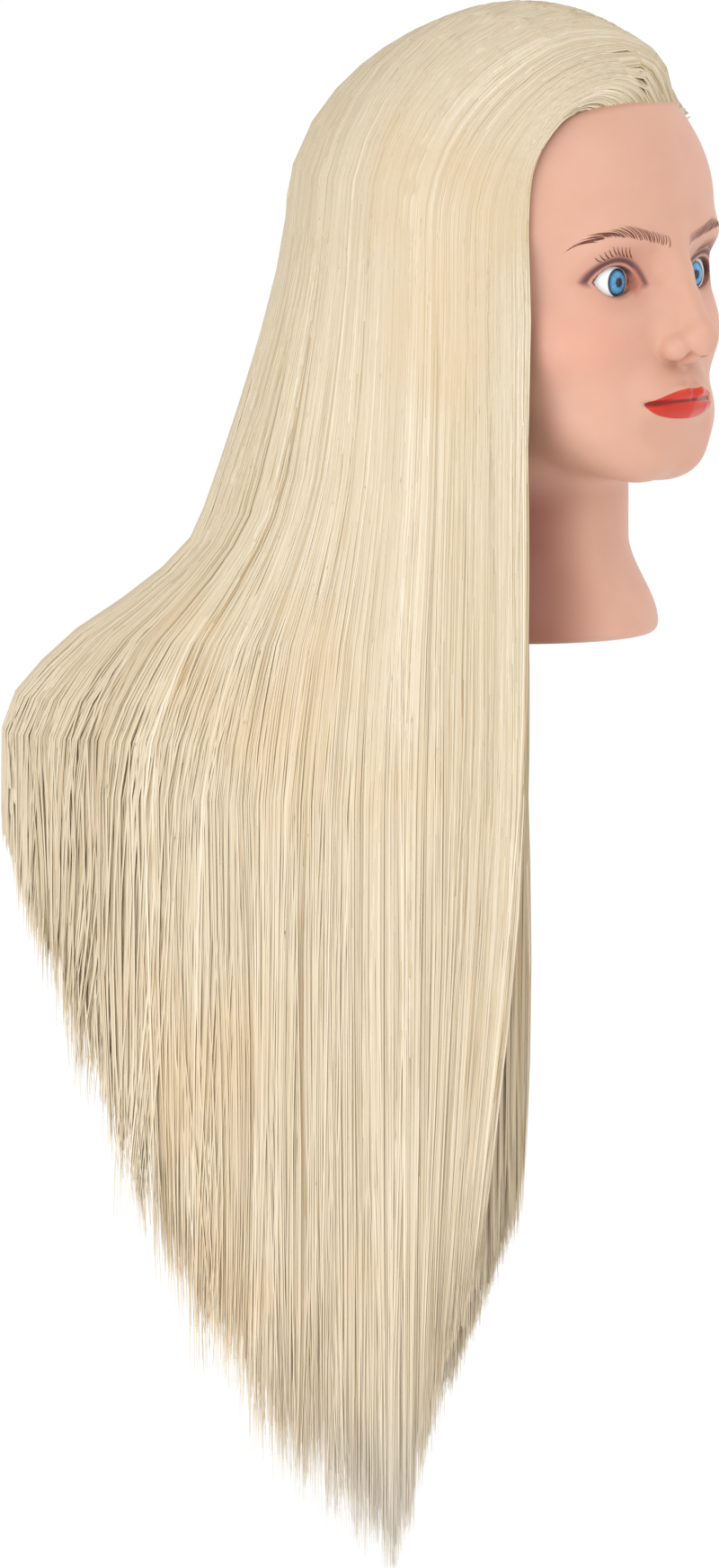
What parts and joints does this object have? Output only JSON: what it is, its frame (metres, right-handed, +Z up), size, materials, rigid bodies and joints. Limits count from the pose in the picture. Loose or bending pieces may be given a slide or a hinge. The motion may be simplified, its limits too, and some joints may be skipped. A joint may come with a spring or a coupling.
{
  "type": "mannequin training head",
  "caption": "Hairdresser's practice head: vinyl head and neck on a tapered post socket, with long straight rooted hair.",
  "frame": {"origin": "centre of the neck's base plane, at the mouth of the post socket", "axes": "+Z up through the crown, the face looks along -Y, the head's right side is at -X"},
  "size_m": [0.2576, 0.3244, 0.7582],
  "materials": {
    "vinyl_skin": "satin",
    "root_glue": "matte",
    "rigid_foam": "matte",
    "black_plastic": "satin",
    "eye_plastic": "gloss",
    "hair_fibre": "silky"
  },
  "bodies": {
    "root": {"head_shell": "vinyl_skin", "root_lock_lining": "root_glue", "foam_core": "rigid_foam", "neck_socket": "black_plastic", "neck_base_plate": "black_plastic", "eye_right": "eye_plastic", "eye_left": "eye_plastic", "hair_crown": "hair_fibre", "hair_top_right": "hair_fibre", "hair_top_left": "hair_fibre", "hair_left_temple": "hair_fibre", "hair_left_side": "hair_fibre", "hair_right_temple": "hair_fibre", "hair_right_side": "hair_fibre", "hair_right_rear": "hair_fibre", "hair_back_right": "hair_fibre", "hair_back_centre": "hair_fibre", "hair_back_left": "hair_fibre", "hair_left_rear": "hair_fibre", "hair_nape_right": "hair_fibre", "hair_nape_centre": "hair_fibre", "hair_nape_left": "hair_fibre"}
  },
  "joints": []
}
